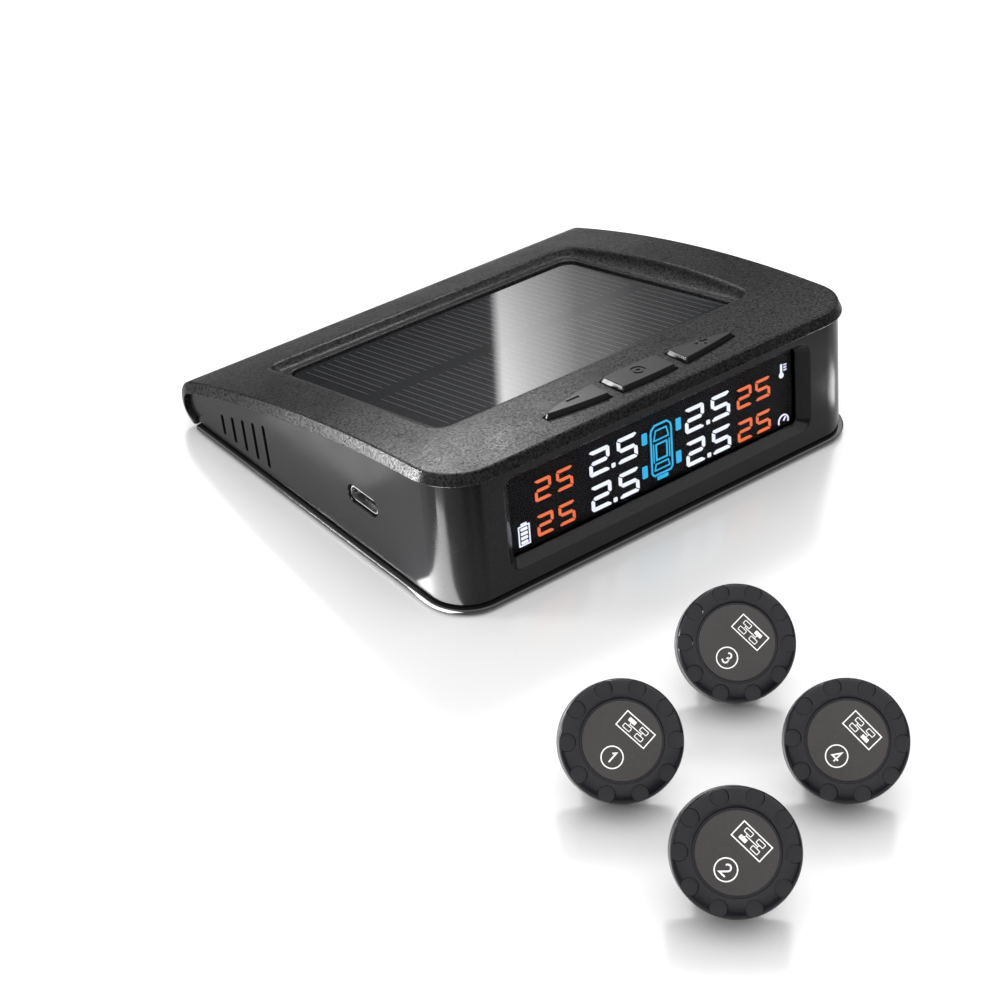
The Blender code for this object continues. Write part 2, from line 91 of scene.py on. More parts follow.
BEYOND = 50.0 * MM  # clear of every side of the unit, for cutters

# Solar panel
PANEL_CENTRE = Vector((0.0, 1.95 * MM, 16.52 * MM))
PANEL_TILT = math.radians(13.2)
PANEL_TURN = Matrix.Rotation(-PANEL_TILT, 3, "X")
PANEL_NORMAL = PANEL_TURN @ Vector((0.0, 0.0, 1.0))
GLASS_HALF = (32.2 * MM, 23.5 * MM)
CELL_MIDDLE = 1.1 * MM
CELL_HALF_X = 30.6 * MM
CELL_HALF_Y = 9.6 * MM
CELL_GAP = 3.6 * MM
FINGER_PITCH = 1.56 * MM
FINGER_SHARE = 0.1

# Screen
SCREEN_HALF_X = 32.0 * MM
SCREEN_LOW = 6.05 * MM
SCREEN_HIGH = 20.35 * MM
BEZEL_SIDE = 1.9 * MM
BEZEL_END = 1.25 * MM
LIT_FRONT = 3.0 * MM
LIT_BACK = 3.15 * MM

DIGITS = {"2": "abged", "5": "afgcd"}

# Buttons
BUTTON_FRONT_RADIUS = 115.0 * MM
BUTTON_FRONT = -33.45 * MM
BUTTON_REAR_RADIUS = 68.0 * MM
BUTTON_REAR = -27.5 * MM
BUTTON_RISE = 0.9 * MM
BUTTON_SPANS = {"down": (-20.6, -8.3), "set": (-6.0, 6.0), "up": (8.3, 20.6)}
SYMBOL_Y = -30.3 * MM

# Socket and vents
USB_Y = -14.1 * MM
USB_Z = 10.75 * MM
VENT_COUNT = 5
VENT_FIRST = 12.9 * MM
VENT_PITCH = 3.4 * MM
VENT_FOOT = 3.2 * MM
VENT_RISE = 7.9 * MM
VENT_SHORTER = 1.02 * MM
VENT_LEAN = 0.19
VENT_HALF = 0.45 * MM

# Sensors
SENSOR_RADIUS = 9.0 * MM
NECK_RADIUS = 4.9 * MM
SENSOR_TILT = math.radians(40.0)
NECK_LENGTH = (SENSOR_RADIUS - NECK_RADIUS) / math.tan(SENSOR_TILT)
# each sensor's x and y in millimetres, and its turn about the vertical in degrees
SENSOR_PLACES = [(-49.9, -82.4, 37.0), (-53.1, -109.8, 40.7), (-21.2, -76.5, 40.2), (-24.5, -103.1, 43.7)]
POCKETS = 10
POCKET_CIRCLE = 7.85 * MM
LABEL_TOP = 7.17
LABEL_TURN = math.radians(-43.0)

# Light: (position, value) stops over the sine of the elevation, or over the distance past the card's edge
CEILING_LIGHT = 2.2
CEILING_STOPS = [(0.0, 0.01), (0.3, 0.012), (0.37, 0.5), (0.42, 1.0), (1.0, 1.0)]
CARD_EDGE = (0.791, -0.5652, 0.2344)
CARD_FADE = [(0.0, 0.0), (0.0004, 1.0), (0.015, 0.6), (0.035, 0.2), (0.06, 0.05), (0.1, 0.0)]
CARD_RISE = [(0.1, 0.3), (0.14, 0.5), (0.185, 1.0), (0.22, 1.0), (0.26, 0.0)]
CARD_LIGHT = 5.0
CARD_BEHIND = 0.3

# Camera
CAMERA_PLACE = (-237.03 * MM, -283.88 * MM, 238.41 * MM)
CAMERA_DOWN = 34.556
CAMERA_TURN = 39.309
LENS = 88.61


# ---- meshes


def shown(name, data):
    """Put a mesh, light or camera in the scene as a new object."""
    made = bpy.data.objects.new(name, data)
    bpy.context.scene.collection.objects.link(made)
    return made


def raw(name, points, faces):
    mesh = bpy.data.meshes.new(name)
    mesh.from_pydata([tuple(point) for point in points], [], faces)
    work = bmesh.new()
    work.from_mesh(mesh)
    bmesh.ops.recalc_face_normals(work, faces=work.faces[:])
    work.to_mesh(mesh)
    work.free()
    return shown(name, mesh)


def loft(name, rings, wrap=False):
    """Join equal closed rings into one solid: capped at both ends, or wrapped round into a ring."""
    count = len(rings[0])
    total = len(rings)
    points = [point for ring in rings for point in ring]
    faces = []
    if not wrap:
        faces = [tuple(range(count)), tuple(range((total - 1) * count, total * count))]
    for level in range(total if wrap else total - 1):
        after = (level + 1) % total
        for step in range(count):
            beside = (step + 1) % count
            near = (level * count + step, level * count + beside)
            faces.append((*near, after * count + beside, after * count + step))
    return raw(name, points, faces)


def stacked(name, ring_at, profile):
    """A solid from rings; the profile gives each one's inset and level in millimetres."""
    return loft(name, [ring_at(inset * MM, level * MM) for inset, level in profile])


def prism_z(name, outline, low, high):
    return loft(name, [[(x, y, z) for x, y in outline] for z in (low, high)])


def prism_x(name, outline, low, high):
    return loft(name, [[(x, y, z) for y, z in outline] for x in (low, high)])


def lathe(name, profile, segments=120):
    """Turn a closed profile of (radius, height) points in millimetres about Z."""
    points = []
    rows = []
    for radius, height in profile:
        if radius == 0.0:
            rows.append([len(points)] * segments)
            points.append((0.0, 0.0, height * MM))
            continue
        rows.append(list(range(len(points), len(points) + segments)))
        for step in range(segments):
            angle = 2.0 * math.pi * step / segments
            points.append((radius * MM * math.cos(angle), radius * MM * math.sin(angle), height * MM))
    faces = []
    for row, after in zip(rows, rows[1:] + rows[:1]):
        if row[0] == row[1] and after[0] == after[1]:
            continue
        for step in range(segments):
            corner = [row[step], row[(step + 1) % segments], after[(step + 1) % segments], after[step]]
            faces.append(tuple(dict.fromkeys(corner)))
    return raw(name, points, faces)


def bake(target):
    """Apply a piece's modifiers to its mesh."""
    bpy.context.view_layer.update()
    shape = target.evaluated_get(bpy.context.evaluated_depsgraph_get())
    mesh = bpy.data.meshes.new_from_object(shape)
    target.modifiers.clear()
    target.data = mesh
    return target


def smooth(target, angle):
    """Shade smoothly below an angle, and let the large flat faces keep their own direction."""
    target.data.shade_smooth()
    target.data.set_sharp_from_angle(angle=math.radians(angle))
    change = target.modifiers.new("even", "WEIGHTED_NORMAL")
    change.mode = "FACE_AREA"
    change.weight = 100
    change.keep_sharp = True
    return bake(target)


def combine(target, other, operation):
    change = target.modifiers.new("combine", "BOOLEAN")
    change.operation = operation
    change.solver = "EXACT"
    change.object = other
    bake(target)
    bpy.data.objects.remove(other, do_unlink=True)


def cut(target, *others):
    for other in others:
        combine(target, other, "DIFFERENCE")


def placed(item, x, y):
    item.location = (x, y, 0.0)
    return item


def arc(centre, radius, start, end, steps):
    angles = [math.radians(start + (end - start) * step / steps) for step in range(steps + 1)]
    return [(centre[0] + radius * math.cos(a), centre[1] + radius * math.sin(a)) for a in angles]


def soften(outline, reach):
    """Round the sharp corners of a closed outline, starting a given distance before each corner."""
    steps = 4
    least_turn = 25.0
    softened = []
    for index, point in enumerate(outline):
        corner = Vector(point)
        before = Vector(outline[index - 1]) - corner
        after = Vector(outline[(index + 1) % len(outline)]) - corner
        near = min(reach, before.length * 0.4, after.length * 0.4)
        if math.degrees(before.angle(-after)) < least_turn:
            softened.append(tuple(corner))
            continue
        first = corner + before.normalized() * near
        last = corner + after.normalized() * near
        softened += [tuple(bend(first, corner, last, step / steps)) for step in range(steps + 1)]
    return softened


def bend(start, middle, end, f):
    """A point on the curve that leaves towards the middle point and arrives from it."""
    return start * (1 - f) ** 2 + middle * (2 * f * (1 - f)) + end * f**2


def rounded_rectangle(half_x, half_y, radius, steps=8, middle=(0.0, 0.0)):
    corners = []
    for side_x, side_y, start in ((1, 1, 0), (-1, 1, 90), (-1, -1, 180), (1, -1, 270)):
        centre = (middle[0] + side_x * (half_x - radius), middle[1] + side_y * (half_y - radius))
        corners += arc(centre, radius, start, start + 90, steps)
    return corners


def plan_outline(half_width, front, back, radius):
    """Tight back corners and round front corners."""
    steps = 14
    outline = arc((half_width - BACK_CORNER, back - BACK_CORNER), BACK_CORNER, 0, 90, 4)
    outline += arc((-half_width + BACK_CORNER, back - BACK_CORNER), BACK_CORNER, 90, 180, 4)
    outline += arc((-half_width + radius, front + radius), radius, 180, 270, steps)
    outline += arc((half_width - radius, front + radius), radius, 270, 360, steps)
    return outline


# ---- materials


def blank(name, colour, roughness, metallic=0.0):
    made = bpy.data.materials.new(name)
    made.use_nodes = True
    shader = made.node_tree.nodes["Principled BSDF"]
    shader.inputs["Base Color"].default_value = (*colour, 1.0)
    shader.inputs["Roughness"].default_value = roughness
    shader.inputs["Metallic"].default_value = metallic
    return made, shader


def maths(tree, operation, first, second=None):
    """A calculation on one or two values, each a number or another node's output."""
    node = tree.nodes.new("ShaderNodeMath")
    node.operation = operation
    for socket, value in zip(node.inputs, (first, second)):
        if isinstance(value, float):
            socket.default_value = value
        elif value is not None:
            tree.links.new(value, socket)
    return node.outputs["Value"]


def noise(tree, scale, detail=2.0, roughness=0.5):
    """A noise pattern on the piece's own coordinates; scale is the size of its grains in metres."""
    place = tree.nodes.new("ShaderNodeTexCoord")
    made = tree.nodes.new("ShaderNodeTexNoise")
    made.inputs["Scale"].default_value = 1.0 / scale
    made.inputs["Detail"].default_value = detail
    made.inputs["Roughness"].default_value = roughness
    tree.links.new(place.outputs["Object"], made.inputs["Vector"])
    return made.outputs["Fac"]


def spread_over(tree, source, low, high, socket):
    """Let a pattern vary a shader value between two limits."""
    span = tree.nodes.new("ShaderNodeMapRange")
    span.inputs["From Min"].default_value = 0.3
    span.inputs["From Max"].default_value = 0.7
    span.inputs["To Min"].default_value = low
    span.inputs["To Max"].default_value = high
    tree.links.new(source, span.inputs["Value"])
    tree.links.new(span.outputs["Result"], socket)


def tint_over(tree, source, dark, light, socket, reach=0.2):
    """Let a pattern vary a shader colour between two; reach is how far it swings from its middle."""
    ramp = tree.nodes.new("ShaderNodeValToRGB")
    for element, side, colour in zip(ramp.color_ramp.elements, (-1, 1), (dark, light)):
        element.position = 0.5 + side * reach
        element.color = (*colour, 1.0)
    tree.links.new(source, ramp.inputs["Fac"])
    tree.links.new(ramp.outputs["Color"], socket)


def bump_from(tree, source, height, socket):
    relief = tree.nodes.new("ShaderNodeBump")
    relief.inputs["Strength"].default_value = 1.0
    relief.inputs["Distance"].default_value = height
    tree.links.new(source, relief.inputs["Height"])
    tree.links.new(relief.outputs["Normal"], socket)


def moulded(name, colour, roughness, grain, relief, tint=0.2, metallic=0.0, index=1.5, sparkle=0.0):
    """Moulded or machined surface: fine grain in the relief and colour, broad drift in the roughness."""
    made, shader = blank(name, colour, roughness, metallic)
    tree = made.node_tree
    shader.inputs["IOR"].default_value = index
    fine = noise(tree, grain * MM, 3.0, 0.6)
    broad = noise(tree, 9.0 * MM)
    dark = [value * (1.0 - tint) for value in colour]
    light = [value * (1.0 + tint) for value in colour]
    tint_over(tree, fine, dark, light, shader.inputs["Base Color"])
    spread_over(tree, broad, roughness - 0.06, roughness + 0.06, shader.inputs["Roughness"])
    bump_from(tree, fine, relief * MM, shader.inputs["Normal"])
    if sparkle > 0.0:
        spread_over(tree, fine, 0.5 - sparkle, 0.5 + sparkle, shader.inputs["Specular IOR Level"])
    return made


def glowing(name, colour, strength):
    """A lit display element, with the slight unevenness of the light behind it."""
    made, shader = blank(name, (0.02, 0.02, 0.02), 0.4)
    tree = made.node_tree
    shader.inputs["Emission Strength"].default_value = strength
    broad = noise(tree, 2.5 * MM, 1.0)
    dim = [value * 0.9 for value in colour]
    tint_over(tree, broad, dim, colour, shader.inputs["Emission Color"])
    return made


def clear_window():
    made, shader = blank("smoked_acrylic", (0.62, 0.62, 0.66), 0.02)
    tree = made.node_tree
    shader.inputs["Transmission Weight"].default_value = 1.0
    shader.inputs["IOR"].default_value = 1.12
    spread_over(tree, noise(tree, 14.0 * MM, 1.0), 0.012, 0.03, shader.inputs["Roughness"])
    return made


def solar_glass():
    """Dark cells under glass: printed fingers run front to back in two rows, below a clear coat."""
    made, shader = blank("solar_laminate", (0.01, 0.011, 0.015), 0.3)
    shader.inputs["Specular IOR Level"].default_value = 0.05
    tree = made.node_tree
    nodes = tree.nodes
    links = tree.links
    place = nodes.new("ShaderNodeTexCoord")
    split = nodes.new("ShaderNodeSeparateXYZ")
    links.new(place.outputs["Object"], split.inputs["Vector"])
    across, along = split.outputs["X"], split.outputs["Y"]

    flat = math.cos(PANEL_TILT)
    repeat = maths(tree, "FRACT", maths(tree, "MULTIPLY", across, 1.0 / FINGER_PITCH))
    finger = maths(tree, "LESS_THAN", repeat, FINGER_SHARE)
    inside = maths(tree, "LESS_THAN", maths(tree, "ABSOLUTE", across), CELL_HALF_X)
    middle = PANEL_CENTRE.y + CELL_MIDDLE * flat
    from_middle = maths(tree, "ABSOLUTE", maths(tree, "SUBTRACT", along, middle))
    rows = maths(tree, "GREATER_THAN", from_middle, CELL_GAP / 2.0 * flat)
    within = maths(tree, "LESS_THAN", from_middle, (CELL_GAP / 2.0 + 2.0 * CELL_HALF_Y) * flat)
    on_cell = maths(tree, "MULTIPLY", rows, within)
    mask = maths(tree, "MULTIPLY", maths(tree, "MULTIPLY", finger, inside), on_cell)

    colour = nodes.new("ShaderNodeMix")
    colour.data_type = "RGBA"
    cloudy = noise(tree, 6.0 * MM, 3.0)
    tint_over(tree, cloudy, (0.0035, 0.0038, 0.0045), (0.0055, 0.006, 0.0075), colour.inputs["A"], 0.15)
    colour.inputs["B"].default_value = (0.05, 0.05, 0.053, 1.0)
    links.new(mask, colour.inputs["Factor"])
    links.new(colour.outputs["Result"], shader.inputs["Base Color"])
    shader.inputs["Coat Weight"].default_value = 1.0
    shader.inputs["Coat Roughness"].default_value = 0.025
    shader.inputs["Coat IOR"].default_value = 1.5
    return made


def make_materials():
    """One material for each slot of the CAD model, and one for each extra finish."""
    cover_black = (0.009, 0.009, 0.0094)
    sparkling = {"tint": 0.9, "index": 1.2, "sparkle": 0.4}
    button_black = (0.008, 0.008, 0.0085)
    base_black = (0.006, 0.006, 0.0065)
    sensor_black = (0.006, 0.006, 0.0085)
    # slot: name, colour, roughness, grain and relief in millimetres, further settings
    moulds = {
        "cover_texture": ("spark_grain_black", cover_black, 0.3, 0.42, 0.035, sparkling),
        "housing_black": ("satin_black", base_black, 0.22, 0.5, 0.001, {"index": 1.25}),
        "base_black": ("base_black_plastic", base_black, 0.16, 0.4, 0.002, {"index": 1.55}),
        "pad_rubber": ("pad_rubber_grain", (0.018, 0.018, 0.018), 0.85, 0.5, 0.05, {}),
        "solar_cell": ("dark_silicon", (0.01, 0.012, 0.022), 0.3, 0.3, 0.004, {}),
        "circuit_board": ("green_solder_mask", (0.012, 0.1, 0.04), 0.4, 0.6, 0.02, {"tint": 0.4}),
        "screen_glass": ("black_lcd", (0.001, 0.001, 0.003), 0.35, 0.5, 0.001, {"index": 1.1}),
        "white_plastic": ("diffuser_white", (0.7, 0.7, 0.7), 0.5, 0.5, 0.01, {"tint": 0.04}),
        "battery_foil": ("battery_pouch", (0.5, 0.5, 0.52), 0.35, 1.2, 0.04, {"metallic": 0.7}),
        "red_wire": ("red_insulation", (0.45, 0.02, 0.02), 0.45, 0.3, 0.01, {}),
        "bright_steel": ("plated_steel", (0.75, 0.75, 0.76), 0.22, 0.3, 0.003, {"tint": 0.06, "metallic": 1.0}),
        "black_plastic": ("plain_black_plastic", (0.016, 0.016, 0.017), 0.42, 0.4, 0.01, {}),
        "copper_wire": ("enamelled_copper", (0.6, 0.26, 0.12), 0.3, 0.2, 0.004, {"metallic": 1.0}),
        "button_black": ("button_satin", button_black, 0.3, 0.3, 0.006, {"tint": 0.25, "index": 1.3}),
        "switch_plunger": ("plunger_yellow", (0.55, 0.42, 0.08), 0.4, 0.3, 0.006, {}),
        "screw_steel": ("blackened_steel", (0.16, 0.16, 0.17), 0.32, 0.25, 0.008, {"metallic": 1.0}),
        "sensor_black": ("sensor_black_nylon", sensor_black, 0.28, 0.28, 0.014, {"tint": 0.3, "index": 1.3}),
        "valve_brass": ("turned_brass", (0.7, 0.5, 0.2), 0.28, 0.2, 0.006, {"tint": 0.1, "metallic": 1.0}),
        "seal_rubber": ("seal_black_rubber", (0.014, 0.014, 0.014), 0.75, 0.3, 0.01, {}),
        "coin_steel": ("cell_steel", (0.66, 0.66, 0.67), 0.24, 0.3, 0.004, {"tint": 0.05, "metallic": 1.0}),
        "label": ("label_warm_grey", (0.026, 0.0215, 0.022), 0.42, 0.5, 0.01, {"tint": 0.12, "index": 1.4}),
        # painted shade: the dark sheets on the floors of the keys' sunk symbols
        "symbol_painted_shade": ("symbol_black", (0.004, 0.004, 0.004), 0.6, 0.3, 0.01, {}),
        "print_white": ("print_white_ink", (0.8, 0.79, 0.78), 0.5, 0.2, 0.004, {"tint": 0.05}),
    }
    made = {slot: moulded(*settings, **further) for slot, (*settings, further) in moulds.items()}
    made["panel_glass"] = solar_glass()
    made["smoked_window"] = clear_window()
    made["lit_white"] = glowing("lit_white", (0.86, 0.9, 1.0), 1.8)
    made["lit_orange"] = glowing("lit_orange", (1.0, 0.2, 0.06), 1.5)
    made["lit_cyan"] = glowing("lit_cyan", (0.03, 0.55, 0.92), 1.4)
    return made


MATERIALS = make_materials()


def adopt(target, body, slot, nodes=(), finish=None, angle=32.0):
    """Give a finished mesh its material and let it move with its CAD body."""
    target.data.materials.clear()
    target.data.materials.append(MATERIALS[finish or slot])
    smooth(target, angle)
    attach(target, body)
    if nodes:
        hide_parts(*nodes)
    return target


# ---- shape of the display unit


def profile_point(x, along, depth):
    """A point at a distance along the side profile from its front edge, and a depth below it."""
    if along <= ARCH_LENGTH:
        angle = ARCH_START + along / ARCH_RADIUS
        reach = ARCH_RADIUS - depth
        return Vector((x, ARCH_CENTRE_Y + reach * math.sin(angle), ARCH_CENTRE_Z + reach * math.cos(angle)))
    angle = NOSE_ANGLE + (along - ARCH_LENGTH) / NOSE_RADIUS
    reach = NOSE_RADIUS - depth
    return Vector((x, NOSE_Y + reach * math.sin(angle), NOSE_Z + reach * math.cos(angle)))


def top_height(y):
    return ARCH_CENTRE_Z + math.sqrt(ARCH_RADIUS**2 - (y - ARCH_CENTRE_Y) ** 2)


def side_profile(inset, front):
    """The arch and the nose at a depth below the top, as (y, z) points."""
    arch_steps = 60
    start = math.asin((front - ARCH_CENTRE_Y) / (ARCH_RADIUS - inset))
    points = []
    for step in range(arch_steps + 1):
        angle = start + (NOSE_ANGLE - start) * step / arch_steps
        reach = ARCH_RADIUS - inset
        points.append((ARCH_CENTRE_Y + reach * math.sin(angle), ARCH_CENTRE_Z + reach * math.cos(angle)))
    nose = arc((NOSE_Y, NOSE_Z), NOSE_RADIUS - inset, 90 - math.degrees(NOSE_ANGLE), -90, 24)
    return points + nose[1:]


def panel_point(x, v, height):
    return PANEL_CENTRE + PANEL_TURN @ Vector((x, v, height))


def face_point(x, height, depth):
    """A point behind the raked front face, measured square to it."""
    lean = math.atan(FACE_RAKE)
    front = BASE_FRONT + LIP + FACE_RAKE * (height - WALL_BOTTOM)
    return Vector((x, front + depth * math.cos(lean), height - depth * math.sin(lean)))


def face_ring(half_x, low, high, radius, depth, steps=6):
    middle = (0.0, (low + high) / 2.0)
    outline = rounded_rectangle(half_x, (high - low) / 2.0, radius, steps, middle)
    return [face_point(x, height, depth) for x, height in outline]


def arch_hit(start, end, depth):
    """Where the line through two points meets the arched surface at a depth below the top."""
    from_centre = Vector((start.y - ARCH_CENTRE_Y, start.z - ARCH_CENTRE_Z))
    along = Vector((end.y - start.y, end.z - start.z))
    a = along.dot(along)
    b = 2.0 * from_centre.dot(along)
    c = from_centre.dot(from_centre) - (ARCH_RADIUS - depth) ** 2
    share = (-b + math.sqrt(b * b - 4.0 * a * c)) / (2.0 * a)
    return start + (end - start) * share


def along_arch(point):
    return ARCH_RADIUS * (math.atan2(point.y - ARCH_CENTRE_Y, point.z - ARCH_CENTRE_Z) - ARCH_START)


def ring(low, high, front_radius, back_radius, crowd=1.0):
    """A rounded rectangle from the right side round; crowd above 1 packs the sides' points to the back."""
    side_steps = 56
    end_steps = 44
    side_low = low[1] + front_radius
    side_high = high[1] - back_radius
    shares = [1.0 - (1.0 - step / side_steps) ** crowd for step in range(side_steps + 1)]
    side = [side_low + (side_high - side_low) * share for share in shares]

    def end(start, stop, y):
        return [(start + (stop - start) * step / end_steps, y) for step in range(end_steps)]

    def corner(x, y, radius, start):
        return arc((x, y), radius, start, start + 90, 10)[:-1]

    points = [(high[0], y) for y in side[:-1]]
    points += corner(high[0] - back_radius, side_high, back_radius, 0)
    points += end(high[0] - back_radius, low[0] + back_radius, high[1])
    points += corner(low[0] + back_radius, side_high, back_radius, 90)
    points += [(low[0], y) for y in side[:0:-1]]
    points += corner(low[0] + front_radius, side_low, front_radius, 180)
    points += end(low[0] + front_radius, high[0] - front_radius, low[1])
    points += corner(high[0] - front_radius, side_low, front_radius, 270)
    return points


def button_outline(low_x, high_x, margin=0.0):
    steps = 12
    low = low_x * MM - margin
    high = high_x * MM + margin
    front_radius = BUTTON_FRONT_RADIUS + margin
    rear_radius = BUTTON_REAR_RADIUS + margin
    xs = [low + (high - low) * step / steps for step in range(steps + 1)]
    front_centre = BUTTON_FRONT + BUTTON_FRONT_RADIUS
    rear_centre = BUTTON_REAR - BUTTON_REAR_RADIUS
    front = [(x, front_centre - math.sqrt(front_radius**2 - x**2)) for x in xs]
    rear = [(x, rear_centre + math.sqrt(rear_radius**2 - x**2)) for x in reversed(xs)]
    return soften(front + rear, 0.3 * MM)


def make_cover():
    """The textured lid: one closed skin from its chamfered edge over the arch into the panel's tray."""
    surface_steps = 30
    wall_steps = 8
    under_steps = 14
    fillet = 0.45 * MM
    scoop = 0.9 * MM

    def edge(inset):
        """The lid's outline as (x, distance along the side profile) points."""
        low = (-HALF_WIDTH + inset, inset)
        high = (HALF_WIDTH - inset, PROFILE_LENGTH - inset)
        return ring(low, high, LID_CORNER - inset, 0.5 * MM, crowd=1.7)

    def panel_ring(half_x, front, back, radius, height):
        outline = ring((-half_x * MM, front * MM), (half_x * MM, back * MM), radius * MM, radius * MM)
        return [panel_point(x, v, height * MM) for x, v in outline]

    # from the underside over the chamfer, with a fine line scored round the top
    edge_profile = [(1.6, 2.0), (0.14, 2.0), (0.04, 1.96), (0.0, 1.86), (0.66, 0.22), (0.72, 0.1)]
    edge_profile += [(0.8, 0.03), (0.9, 0.0), (0.97, 0.0), (1.0, 0.07), (1.06, 0.07), (1.1, 0.0)]
    rings = []
    for inset, depth in edge_profile:
        rings.append([profile_point(x, along, depth * MM) for x, along in edge(inset * MM)])

    # over the arch to the filleted rim of the tray
    ledge = panel_ring(33.37, -24.04, 24.87, 3.0, 0.45)
    above = panel_ring(37.3, -24.6, 31.6, 3.0, 4.0)
    rim = [arch_hit(start, end, 0.0) for start, end in zip(ledge, above)]
    outer = [Vector(point) for point in edge(edge_profile[-1][0] * MM)]
    inner = [Vector((point.x, along_arch(point))) for point in rim]
    inner_edge = [near + (far - near).normalized() * fillet for near, far in zip(inner, outer)]
    for step in range(1, surface_steps + 1):
        f = step / surface_steps
        rings.append([profile_point(*far.lerp(near, f), 0.0) for near, far in zip(inner_edge, outer)])
    start = rings[-1]
    wall = [point + (low - point).normalized() * fillet for point, low in zip(rim, ledge)]
    for f in (0.25, 0.5, 0.75, 1.0):
        rings.append([bend(*points, f) for points in zip(start, rim, wall)])

    # down the scooped wall, over the ledge and past the glass to the underside
    bends = []
    for high, low in zip(wall, ledge):
        down = (low - high).normalized()
        bends.append((high + low) / 2.0 - (PANEL_NORMAL - down * PANEL_NORMAL.dot(down)) * scoop)
    for step in range(1, wall_steps + 1):
        rings.append([bend(*points, step / wall_steps) for points in zip(wall, bends, ledge)])
    tray = [(32.68, 23.98, 2.6, 0.45), (32.55, 23.85, 2.55, 0.4), (32.5, 23.8, 2.5, 0.25)]
    tray += [(32.5, 23.8, 2.5, -1.3), (31.6, 22.8, 2.0, -1.3), (31.6, 22.8, 2.0, -1.9)]
    tray += [(37.5, 25.8, 3.0, -1.9)]
    for half_x, half_v, radius, height in tray:
        rings.append(panel_ring(half_x, -half_v, half_v, radius, height))
    tray_top = [arch_hit(low, low + PANEL_NORMAL * MM, LID_SKIN) for low in rings[-1]]
    rings.append(tray_top)
    under_start = [Vector((point.x, along_arch(point))) for point in tray_top]
    under_end = [Vector(point) for point in edge(edge_profile[0][0] * MM)]
    for step in range(1, under_steps):
        f = step / under_steps
        rings.append([profile_point(*a.lerp(b, f), LID_SKIN) for a, b in zip(under_start, under_end)])
    cover = loft("cover_shell", rings, wrap=True)
    for name, (low, high) in BUTTON_SPANS.items():
        cut(cover, prism_z(f"{name}_aperture", button_outline(low, high, GAP), 15.0 * MM, 30.0 * MM))
    adopt(cover, "display_unit", "cover_texture", ["top_cover"], angle=26.0)


def side_cutter(name, outline):
    """A cutter that reaches through the left wall."""
    return prism_x(name, outline, -BEYOND, -40.0 * MM)


def vent_cutter(index):
    """One leaning slot with round ends; each slot nearer the front is taller."""
    y = VENT_FIRST + VENT_PITCH * index
    rise = VENT_RISE - VENT_SHORTER * index
    reach = rise - VENT_HALF
    top = arc((y + VENT_LEAN * reach, VENT_FOOT + rise - VENT_HALF), VENT_HALF, 0, 180, 8)
    bottom = arc((y + VENT_LEAN * VENT_HALF, VENT_FOOT + VENT_HALF), VENT_HALF, 180, 360, 8)
    return side_cutter("vent", top + bottom)


def socket_outline(half_y, half_z, radius):
    return [(USB_Y + y, USB_Z + z) for y, z in rounded_rectangle(half_y, half_z, radius, 8)]


def make_housing():
    """Side walls and raked front under the lid's arch, with the screen, socket and vents let in."""
    radius = CORNER - LIP
    half = HALF_WIDTH - LIP

    def section(height, margin, back):
        front = face_point(0.0, height, 0.0).y + margin
        outline = plan_outline(half - margin, front, back - margin * 0.5, radius - margin)
        return [(x, y, height) for x, y in outline]

    fillet = 0.22 * MM
    rings = []
    for rise, margin in ((0.0, fillet), (fillet * 0.3, fillet * 0.3), (fillet, 0.0)):
        rings.append(section(WALL_BOTTOM + rise, margin, HOUSING_BACK))
    rings.append(section(WALL_TOP, 0.0, HOUSING_BACK))
    housing = loft("housing_shell", rings)
    wedge = side_profile(LID_SKIN + GAP, -BEYOND)
    wedge += [(BASE_BACK - GAP, wedge[-1][1]), (BASE_BACK - GAP, 0.0), (-BEYOND, 0.0)]
    combine(housing, prism_x("wedge", wedge, -BEYOND, BEYOND), "INTERSECT")
    inside = [section(height, WALL, INSIDE_BACK) for height in (-0.4 * MM, WALL_TOP + 2.0 * MM)]
    cut(housing, loft("housing_inside", inside))
    for x, y in SCREWS.values():
        top = 7.0 if y < 0.0 else 7.6
        post = lathe("post", [(0.0, 2.9), (2.7, 2.9), (2.7, top), (0.0, top)], 32)
        hole = lathe("post_hole", [(0.0, 2.0), (1.3, 2.0), (1.3, 6.4), (0.0, 6.4)], 24)
        combine(housing, placed(post, x, y), "UNION")
        cut(housing, placed(hole, x, y))

    # the screen's bezel: depth behind the front face, and share of the bezel's full width
    bezel = []
    profile = [(-0.3, 1.5), (0.0, 1.13), (0.05, 1.05), (0.13, 0.985), (0.28, 0.88), (0.6, 0.66)]
    profile += [(1.0, 0.38), (1.35, 0.17), (1.6, 0.02), (1.7, 0.0), (4.0, 0.0)]
    for depth, share in profile:
        side = SCREEN_HALF_X + share * BEZEL_SIDE
        low = SCREEN_LOW - share * BEZEL_END
        high = SCREEN_HIGH + share * BEZEL_END
        bezel.append(face_ring(side, low, high, (0.9 + 1.5 * share) * MM, depth * MM))
    cut(housing, loft("window_opening", bezel))
    cut(housing, side_cutter("usb_opening", socket_outline(4.1 * MM, 1.7 * MM, 1.5 * MM)))
    for index in range(VENT_COUNT):
        cut(housing, vent_cutter(index))
    adopt(housing, "display_unit", "housing_black", ["main_housing"], angle=24.0)


